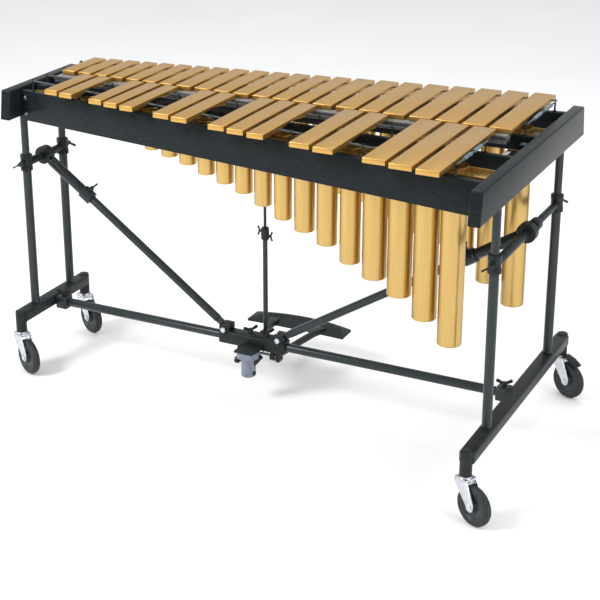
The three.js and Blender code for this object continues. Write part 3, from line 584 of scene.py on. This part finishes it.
def motor():
    low, high = box_mm("motor")
    centre, _ = joint_mm("motor_turn")
    bm = bmesh.new()
    block(bm, (low.x + 3, low.y, low.z), (high.x, high.y, high.z), 4.5, 4)
    turned(bm, [(0, 0), (0, 22), (1, 23), (4, 23), (4, 0)], (low.x, centre.y, centre.z), (1, 0, 0), 40)
    for k in range(5):
        y = low.y + 16 + 9 * k
        block(bm, (low.x + 22, y, high.z - 1), (high.x - 6, y + 3, high.z + 0.8), 0.4)
    piece("motor_case", bm, "keyboard", CASE, "motor_case", "motor")
    bm = bmesh.new()
    block(bm, (low.x + 5, low.y + 18, high.z - 0.5), (low.x + 19, low.y + 50, high.z + 0.4), 0.15)
    piece("motor_label", bm, "keyboard", LABEL, "motor_case")
    bm = bmesh.new()
    start = (low.x - 14, centre.y, centre.z)
    wheel = [(0, 0), (0, 3), (1, 3), (1, 8.4), (1.5, 9), (3.5, 9), (5, 6.8), (7, 6.8), (8.5, 9), (10.5, 9),
             (11, 8.4), (11, 3), (30, 3), (30, 0)]
    turned(bm, wheel, start, (1, 0, 0), 36)
    piece("motor_pulley_turned", bm, "motor_rotor", STEEL, "steel", "motor_pulley")


BRACKET_Y = (66, 161)
BRACKET_X = (650, 672)
BRACKET_Z = (777, 789)
BRACKET_HALF = 9
BRACKET_THICK = 3


def bank_brackets():
    """Angle brackets beside the low end block, between the last tube and the block."""
    bm = bmesh.new()
    (x0, x1), (z0, z1) = BRACKET_X, BRACKET_Z
    for y in BRACKET_Y:
        block(bm, (x0, y - BRACKET_HALF, z1 - BRACKET_THICK), (x1, y + BRACKET_HALF, z1), 0.7)
        block(bm, (x1 - BRACKET_THICK, y - BRACKET_HALF, z0), (x1, y + BRACKET_HALF, z1), 0.7)
        turned(bm, SCREW, (x0 + 8, y, z1), (0, 0, 1), 18)
    piece("bank_brackets", bm, "keyboard", BRACKET, "steel")


motor()
bank_brackets()


# ---------------------------------------------------------------- damper, pedal, pedal rod
def damper():
    low, high = box_mm("damper_bar")
    _, rod_high = box_mm("damper_rod")
    rod_low, _ = box_mm("damper_rod")
    rod_at = ((rod_low.x + rod_high.x) / 2, (rod_low.y + rod_high.y) / 2)
    bm = bmesh.new()
    block(bm, (low.x, -15, high.z - 8), (high.x, 15, high.z), 1.2)
    block(bm, (rod_at[0] - 12, 0, high.z - 8), (rod_at[0] + 12, rod_at[1] + 8, high.z - 2), 1)
    for guide in ("damper_guide_high", "damper_guide_low"):
        guide_low, guide_high = box_mm(guide)
        x = (guide_low.x + guide_high.x) / 2
        rod(bm, (x, 0, low.z), (x, 0, high.z - 6), 4, sides=24)
    piece("damper_bar_extrusion", bm, "damper", STEEL, "damper_metal", "damper_bar")
    bm = bmesh.new()
    rod(bm, (*rod_at, rod_low.z), (*rod_at, rod_high.z), 4, sides=24)
    piece("damper_rod_turned", bm, "damper", TUBE_COAT, "steel", "damper_rod")
    felt_low, felt_high = box_mm("damper_felt")
    bm = bmesh.new()
    block(bm, felt_low, felt_high, 3, 4)
    piece("damper_felt_strip", bm, "damper", FELT, "felt", "damper_felt")


PEDAL_X = -28
PEDAL_HALF = 150
PEDAL_ARMS = (-68, 12)
BOARD_Z = (106, 114)
TREAD_RIBS = 6


def bowed(half, y, bow, steps):
    """Points of one curved edge of the pedal board, from end to end."""
    turn = [2 * k / steps - 1 for k in range(steps + 1)]
    return [(PEDAL_X + half * t, y + bow * (1 - t * t)) for t in turn]


def pedal():
    pivot, _ = joint_mm("pedal_press")
    bm = bmesh.new()
    board_outline = bowed(PEDAL_HALF, 208, 4, 28) + bowed(PEDAL_HALF, 268, 26, 28)[::-1]
    slab(bm, board_outline, "z", *BOARD_Z, edge=2.6, segments=3)
    for x in PEDAL_ARMS:
        lean = -34 if x < PEDAL_X else 34
        outline = [(x - 6, 12), (x + 6, 12), (x + 0.8 * lean + 7, 190), (x + lean + 16, 232),
                   (x + lean - 16, 232), (x + 0.8 * lean - 7, 190)]
        slab(bm, outline, "z", BOARD_Z[0] + 1, BOARD_Z[1] + 9, edge=2)
        pipe(bm, (x - 6, 0, pivot.z), (x + 6, 0, pivot.z), 13, 4.6, edge=1)
        block(bm, (x - 6, 5, BOARD_Z[0] + 1), (x + 6, 44, pivot.z + 8), 1.6)
    rod(bm, (PEDAL_ARMS[0], 34, pivot.z), (PEDAL_ARMS[1], 34, pivot.z), 4, sides=24)
    piece("pedal_casting", bm, "pedal", CASTING, "black_casting", "pedal")
    bm = bmesh.new()
    for k in range(TREAD_RIBS):
        near = bowed(PEDAL_HALF - (12 + 3 * k), 216 + 8.6 * k, 6 + 3 * k, 20)
        outline = near + [(u, v + 4) for u, v in reversed(near)]
        slab(bm, outline, "z", BOARD_Z[1] - 0.5, BOARD_Z[1] + 1.4, edge=0.6)
    piece("pedal_tread", bm, "pedal", RUBBER, "black_casting")


def pedal_rod():
    low, high = box_mm("pedal_rod")
    x, y = (low.x + high.x) / 2, (low.y + high.y) / 2
    pivot, _ = joint_mm("pedal_press")
    clutch_from = high.z - 36
    bm = bmesh.new()
    # a fork of two cheeks and a bridge round the pedal's cross pin
    for hand in (-1, 1):
        inner, outer = sorted((x + hand * 5, x + hand * 9))
        outline = [(y - 7, pivot.z + 22), (y - 10, pivot.z + 12)]
        arc = [math.pi * k / 12 for k in range(13)]
        outline += [(y - 10 * math.cos(a), pivot.z - 1 - 10 * math.sin(a)) for a in arc]
        outline += [(y + 10, pivot.z + 12), (y + 7, pivot.z + 22)]
        slab(bm, outline, "x", inner, outer, 1)
    block(bm, (x - 9, y - 8, pivot.z + 12), (x + 9, y + 8, pivot.z + 22), 1.4)
    pipe(bm, (x, y, pivot.z + 20), (x, y, clutch_from + 4), 6.5, 4.5)
    piece("pedal_rod_tube", bm, "pedal_link", TUBE_COAT, "steel", "pedal_rod")
    bm = bmesh.new()
    outer, inner, height = 11, 4.6, high.z - clutch_from
    profile = [(0, inner), (0, outer - 3), (3, outer - 0.5), (8, outer), (height - 8, outer),
               (height - 3, outer - 0.5), (height, outer - 3), (height, inner)]
    turned(bm, profile, (x, y, clutch_from), (0, 0, 1), 36, ring=True)
    piece("pedal_rod_clutch", bm, "pedal_link", CASTING, "steel", "pedal_rod")


damper()
pedal()
pedal_rod()


# ---------------------------------------------------------------- wing bolts
def wing_outline(hand, steps=14):
    """One ear: out from the hub, round a broad tip and back."""
    tip, tip_radius = Vector((16.5, 15)), 4.6
    points = [(hand * 1.5, 4.5)]
    for k in range(steps + 1):
        angle = math.radians(-70 + 215 * k / steps)
        points.append((hand * (tip.x + tip_radius * math.cos(angle)), tip.y + tip_radius * math.sin(angle)))
    points.append((hand * 1.5, 12))
    return points


def wing_bolt(node, body, joint, spin, scale=1.0):
    at, out = joint_mm(joint)
    turn = Vector((0, 0, 1)).rotation_difference(out) @ Quaternion((0, 0, 1), spin)
    place = Matrix.Translation(at) @ turn.to_matrix().to_4x4() @ Matrix.Scale(scale, 4)
    bm = bmesh.new()
    shank = [(-8, 0), (-8, 2.4), (-7.4, 3), (0.4, 3), (0.4, 6), (1, 6.5), (4, 6.5), (10, 5.4), (12.4, 4.8),
             (13, 4), (13, 0)]
    turned(bm, shank, (0, 0, 0), (0, 0, 1), 28)
    for hand in (-1, 1):
        slab(bm, wing_outline(hand), "y", -1.9, 1.9, 1.1, 3)
    bmesh.ops.transform(bm, matrix=place, verts=bm.verts[:])
    piece(node + "_forged", bm, body, BOLT, "black_bolt", node)


CORNERS = [end + "_" + side for end, _ in ENDS for side in ("front", "back")]
for corner in CORNERS:
    wing_bolt("wing_bolt_" + corner, "bolt_" + corner, f"bolt_{corner}_turn", 0.5)
for end, _ in ENDS:
    for place, spin in (("stretcher", 0.3), ("brace", math.pi / 2), ("bracket", 0.9)):
        wing_bolt(f"wing_bolt_{place}_{end}", f"bolt_{place}_{end}", f"bolt_{place}_{end}_turn", spin)
    wing_bolt(f"wing_screw_clutch_{end}", f"screw_clutch_{end}", f"screw_clutch_{end}_turn", 0, 0.62)


# ---------------------------------------------------------------- stand
def foot_rail(end):
    low, high = box_mm("foot_rail_" + end)
    x = (low.x + high.x) / 2
    stub_y = high.y - 15
    bm = bmesh.new()
    block(bm, (low.x, -stub_y, 146), (high.x, stub_y, 176), 5, 4)
    for y in (-stub_y, stub_y):
        profile = [(0, 6), (0, 13.5), (1.5, 15), (57, 15), (60, 13.5), (61, 10), (61, 0), (44, 0), (44, 6)]
        turned(bm, profile, (x, y, low.z), (0, 0, 1), 40, ring=True)
    piece(f"foot_rail_{end}_casting", bm, "stand", CASTING, "black_casting", "foot_rail_" + end)


def lower_post(corner):
    node = "lower_post_" + corner
    low, high = box_mm(node)
    x, y = (low.x + high.x) / 2, (low.y + high.y) / 2
    bm = bmesh.new()
    pipe(bm, (x, y, low.z), (x, y, high.z), 12, 10.5, 0.6, 40)
    piece(node + "_tube", bm, "stand", TUBE_COAT, "dark_tube", node)


HOLE_FIRST_Z = 634
HOLE_STEP = 26
HOLE_COUNT = 4
HOLE_RADIUS = 2.6


def sliding_post(corner):
    node = "sliding_post_" + corner
    low, high = box_mm(node)
    x, y = (low.x + high.x) / 2, (low.y + high.y) / 2
    bm = bmesh.new()
    pipe(bm, (x, y, low.z), (x, y, high.z), 10, 8, 0.5, 40)
    made = piece(node + "_tube", bm, "keyboard", TUBE_COAT, "dark_tube", node)
    cutter = bmesh.new()
    for k in range(HOLE_COUNT):
        z = HOLE_FIRST_Z + HOLE_STEP * k
        rod(cutter, (x - 30, y, z), (x + 30, y, z), HOLE_RADIUS, edge=0.1, sides=20)
    bmesh.ops.recalc_face_normals(cutter, faces=cutter.faces[:])
    mesh = bpy.data.meshes.new("post_holes")
    cutter.to_mesh(mesh)
    cutter.free()
    mesh.transform(TO_ROW)
    tool = bpy.data.objects.new("post_holes", mesh)
    bpy.context.scene.collection.objects.link(tool)
    drill = made.modifiers.new("holes", "BOOLEAN")
    drill.operation = "DIFFERENCE"
    drill.object = tool
    drill.solver = "EXACT"
    drilled = bpy.data.meshes.new_from_object(made.evaluated_get(bpy.context.evaluated_depsgraph_get()))
    made.modifiers.remove(drill)
    made.data = drilled
    bpy.data.objects.remove(tool)


CROSS_Z = 591
BOLT_Z = 594
COLLAR_Z = 570


def yoke(end):
    node = "yoke_" + end
    x = STAND_X if end == "low" else -STAND_X
    reach = joint_mm(f"bolt_{end}_back_turn")[0].y
    post_y = reach - 22.5
    bm = bmesh.new()
    for y, facing in ((-post_y, -1), (post_y, 1)):
        collar = [(0, 12.3), (0, 15), (1.2, 16.5), (11, 16.5), (12.5, 15.6), (33, 15.6), (34.5, 16.5),
                  (44.8, 16.5), (46, 15), (46, 10.5), (30.3, 10.5), (30.3, 12.3)]
        turned(bm, collar, (x, y, COLLAR_Z), (0, 0, 1), 40, ring=True)
        rod(bm, (x, y + facing * 13, BOLT_Z), (x, facing * reach, BOLT_Z), 8, edge=1, sides=28)
    span = post_y - 14
    rod(bm, (x, -span, CROSS_Z), (x, 0, CROSS_Z), 11, edge=1, sides=36)
    rod(bm, (x, 0, CROSS_Z), (x, span, CROSS_Z), 9.5 if end == "low" else 11, edge=1, sides=36)
    if end == "low":
        rod(bm, (x, 40, CROSS_Z), (x, 74, CROSS_Z), 16, edge=2, sides=36)
    knuckle = [(0, 0), (0, 10), (1.5, 10.5), (2, 23.5), (3.5, 25), (26.5, 25), (28, 23.5), (28.5, 10.5),
               (30, 10), (30, 0)]
    turned(bm, knuckle, (x, -15, CROSS_Z), (0, 1, 0), 48)
    piece(node + "_casting", bm, "stand", CASTING, "black_casting", node)


def stretcher():
    low, high = box_mm("stretcher")
    bm = bmesh.new()
    rod(bm, (low.x + 30, 0, 155), (high.x - 30, 0, 155), 12, edge=1, sides=40)
    for a, b in ((low.x, low.x + 36), (high.x - 36, high.x)):
        block(bm, (a, low.y, low.z), (b, high.y, high.z), 4, 3)
    piece("stretcher_tube", bm, "stand", TUBE_COAT, "dark_tube", "stretcher")


BRACE_FOOT = {"high": (-129, 179), "low": (35, 179)}


def brace(end, side):
    foot_x, foot_z = BRACE_FOOT[end]
    foot = Vector((foot_x, 0, foot_z))
    top = Vector((side * STAND_X, 0, CROSS_Z))
    along = (top - foot).normalized()
    reach = (top - foot).length - 26
    split = reach - 160
    upper = bmesh.new()
    rod(upper, foot + along * (split + 30), foot + along * reach, 14, edge=1, sides=40)
    profile = [(0, 11.4), (0, 17), (2, 19), (34, 19), (36, 17), (36, 11.4)]
    turned(upper, profile, foot + along * split, along, 40, ring=True)
    piece(f"brace_upper_{end}_tube", upper, "stand", TUBE_COAT, "dark_tube", "brace_upper_" + end)
    lower = bmesh.new()
    rod(lower, foot + along * 34, foot + along * (split + 80), 11, edge=1, sides=36)
    across = Vector((-along.z, 0, along.x))
    outline = []
    for t, w in ((-3, -8), (44, -10), (44, 10), (-3, 8), (-8, 4), (-9, 0), (-8, -4)):
        point = foot + along * t + across * w
        outline.append((point.x, point.z))
    slab(lower, outline, "y", -4, 4, 1)
    piece(f"brace_lower_{end}_tube", lower, "stand", TUBE_COAT, "dark_tube", "brace_lower_" + end)


def centre_bracket():
    bm = bmesh.new()
    block(bm, (-146, -19, 138), (54, 19, 173), 4, 3)
    block(bm, (-76, -19, 172), (24, 8, 181), 2)
    block(bm, (-64, -84, 150), (-8, -17, 156), 2)
    for x in (-86, 30):
        block(bm, (x - 6, -13, 110), (x + 6, 13, 142), 3, 3)
    for end, _ in ENDS:
        x, z = BRACE_FOOT[end]
        for y0, y1 in ((-19, -4.3), (4.3, 19)):
            block(bm, (x - 15, y0, 172), (x + 15, y1, z + 13), 3, 3)
    piece("centre_bracket_casting", bm, "stand", CASTING, "black_casting", "centre_bracket")
    bm = bmesh.new()
    rod(bm, (-92, 0, 122), (36, 0, 122), 4, sides=24)
    for end, _ in ENDS:
        x, z = BRACE_FOOT[end]
        rod(bm, (x, -23, z), (x, 23, z), 4, sides=24)
        rod(bm, (x, -26, z), (x, -19, z), 8, edge=1, sides=6)
        rod(bm, (x, 19, z), (x, 23, z), 7, edge=1, sides=6)
    piece("bracket_bolts", bm, "stand", ZINC, "black_casting", "centre_bracket")


def spring_housing():
    low, high = box_mm("spring_housing")
    x, y = (low.x + high.x) / 2, (low.y + high.y) / 2
    height = high.z - low.z
    bm = bmesh.new()
    profile = [(0, 0), (0, 17), (2, 19.2), (4, 20), (height - 22, 20), (height - 18, 22), (height - 18, 31),
               (height - 17, 32), (height - 1, 32), (height, 31), (height, 0)]
    turned(bm, profile, (x, y, low.z), (0, 0, 1), 56)
    piece("spring_housing_casting", bm, "stand", GREY, "grey_casting", "spring_housing")
    bm = bmesh.new()
    knob = [(0, 0), (0, 3.5), (9, 3.5), (9, 8), (10.5, 9.5), (19, 9.5), (20.5, 8), (20.5, 0)]
    turned(bm, knob, (x - 19, y, high.z - 34), (-1, 0, 0), 28)
    rod(bm, (x + 14, y, high.z - 40), (x + 33, y + 6, high.z - 12), 6.5, 9, edge=2, sides=28)
    rod(bm, (x + 14, y - 4, low.z + 12), (x + 22, y - 6, low.z + 12), 6, edge=1.5, sides=24)
    piece("spring_tension_knob", bm, "stand", BOLT, "black_bolt")


for end, side in ENDS:
    foot_rail(end)
    yoke(end)
    brace(end, side)
for corner in CORNERS:
    lower_post(corner)
    sliding_post(corner)
stretcher()
centre_bracket()
spring_housing()
for guide in ("damper_guide_high", "damper_guide_low"):
    for material_slot in frame["nodes"][guide].material_slots:
        material_slot.material = BOARD


# ---------------------------------------------------------------- casters
def caster_place(corner):
    """The placing of a fork drawn at the origin trailing along +X, and how far its axle trails."""
    stem, _ = joint_mm("caster_swivel_" + corner)
    axle, across = joint_mm("wheel_roll_" + corner)
    trail = Vector((axle.x - stem.x, axle.y - stem.y, 0))
    reach = trail.length
    trail.normalize()
    turn = Matrix(((trail.x, across.x, 0, 0), (trail.y, across.y, 0, 0), (0, 0, 1, 0), (0, 0, 0, 1)))
    return Matrix.Translation((stem.x, stem.y, 0)) @ turn, reach


def caster(corner):
    axle, across = joint_mm("wheel_roll_" + corner)
    place, reach = caster_place(corner)
    bm = bmesh.new()
    arc = [math.radians(180 + 180 * k / 12) for k in range(13)]
    outline = [(-20, 114), (-20, 102)]
    outline += [(reach + 11 * math.cos(a), 50 + 11 * math.sin(a)) for a in arc]
    outline += [(reach + 12, 60), (20, 114)]
    for y0, y1 in ((-17, -13.5), (13.5, 17)):
        slab(bm, outline, "y", y0, y1, 1)
    block(bm, (-20, -17, 106), (20, 17, 114), 2.5, 3)
    race = [(0, 0), (0, 16), (1, 17), (4, 17), (5, 16), (6, 16.4), (12, 16.4), (12.7, 15.6), (12.7, 0)]
    turned(bm, race, (0, 0, 105), (0, 0, 1), 36)
    rod(bm, (0, 0, 110), (0, 0, 158), 5.4, sides=24)
    rod(bm, (reach, -18, 50), (reach, 18, 50), 5, sides=24)
    for y0, y1 in ((-20, -17), (17, 20)):
        rod(bm, (reach, y0, 50), (reach, y1, 50), 8, edge=0.8, sides=6)
    bmesh.ops.transform(bm, matrix=place, verts=bm.verts[:])
    piece(f"caster_fork_{corner}_pressed", bm, "caster_" + corner, ZINC, "zinc", "caster_fork_" + corner)

    wheel = "wheel_" + corner
    node = "caster_wheel_" + corner
    start = axle - across * 12
    tyre = bmesh.new()
    tread = [(3, 36), (2, 40), (2.4, 44), (4, 47.5), (7, 49.5), (12, 50), (17, 49.5), (20, 47.5), (21.6, 44),
             (22, 40), (21, 36)]
    turned(tyre, tread, start, across, 64, ring=True)
    piece(f"{wheel}_tyre", tyre, wheel, RUBBER, "wheel_rubber", node)
    hub = bmesh.new()
    disc = [(0, 5.8), (0, 11), (1, 12), (1, 14), (6, 16), (6, 30), (3, 33), (3, 36), (21, 36), (21, 33),
            (18, 30), (18, 16), (23, 14), (23, 12), (24, 11), (24, 5.8)]
    turned(hub, disc, start, across, 48, ring=True)
    piece(f"{wheel}_hub", hub, wheel, HUB, "wheel_rubber", node)


def brake_lever():
    """The foot brake's tab on the low end's back caster."""
    corner = "low_back"
    place, _ = caster_place(corner)
    bm = bmesh.new()
    outline = [(14, 116), (40, 110), (62, 98), (64, 102), (42, 114.5), (16, 120)]
    slab(bm, outline, "y", -12, 12, 1.2, 3, place)
    piece("caster_brake_tab", bm, "caster_" + corner, BOLT, "zinc")


for corner in CORNERS:
    caster(corner)
brake_lever()


# ---------------------------------------------------------------- camera, floor, lights
SENSOR_WIDTH = 36
CAMERA_PLACE = Vector((1.695, -3.302, 1.859))
CAMERA_AZIMUTH = 26.46
CAMERA_PITCH = 20.64
CAMERA_LENS = 91.2
CAMERA_SHIFT = (0.011, -0.1)
camera_data = bpy.data.cameras.new("camera")
camera_data.sensor_width = SENSOR_WIDTH
camera_data.lens = CAMERA_LENS
camera_data.shift_x, camera_data.shift_y = CAMERA_SHIFT
camera = bpy.data.objects.new("camera", camera_data)
bpy.context.scene.collection.objects.link(camera)
azimuth, pitch = math.radians(CAMERA_AZIMUTH), math.radians(CAMERA_PITCH)
level = math.cos(pitch)
looking = Vector((-math.sin(azimuth) * level, math.cos(azimuth) * level, -math.sin(pitch)))
camera.location = CAMERA_PLACE
camera.rotation_mode = "QUATERNION"
camera.rotation_quaternion = looking.to_track_quat("-Z", "Y")
bpy.context.scene.camera = camera

floor_mesh = bpy.data.meshes.new("floor")
FLOOR = 30
floor_corners = [(-FLOOR, -FLOOR, 0), (FLOOR, -FLOOR, 0), (FLOOR, FLOOR, 0), (-FLOOR, FLOOR, 0)]
floor_mesh.from_pydata(floor_corners, [], [(0, 1, 2, 3)])
floor = bpy.data.objects.new("floor", floor_mesh)
floor_mesh.materials.append(
    surface("pale_floor", (0.95, 0.95, 0.95), (0.97, 0.97, 0.97), 0.7, grain=(2, 2, 2), bump=0.02))
bpy.context.scene.collection.objects.link(floor)


def area_light(name, place, aim, size, power):
    data = bpy.data.lights.new(name, "AREA")
    data.size = size
    data.energy = power
    lamp = bpy.data.objects.new(name, data)
    bpy.context.scene.collection.objects.link(lamp)
    lamp.location = place
    lamp.rotation_mode = "QUATERNION"
    lamp.rotation_quaternion = (Vector(aim) - Vector(place)).to_track_quat("-Z", "Y")


area_light("key", (-2.6, -3.4, 3.6), (0, 0, 0.5), 1.6, 190)
area_light("fill", (3.6, -1.2, 2.2), (0, 0, 0.5), 2.2, 60)
area_light("top", (0.2, 0.8, 4.2), (0, 0, 0.5), 3.0, 60)
world = bpy.data.worlds.new("studio")
world.use_nodes = True
world.node_tree.nodes["Background"].inputs["Color"].default_value = (0.98, 0.99, 1.0, 1)
world.node_tree.nodes["Background"].inputs["Strength"].default_value = 0.72
bpy.context.scene.world = world
bpy.context.scene.view_settings.view_transform = "Standard"
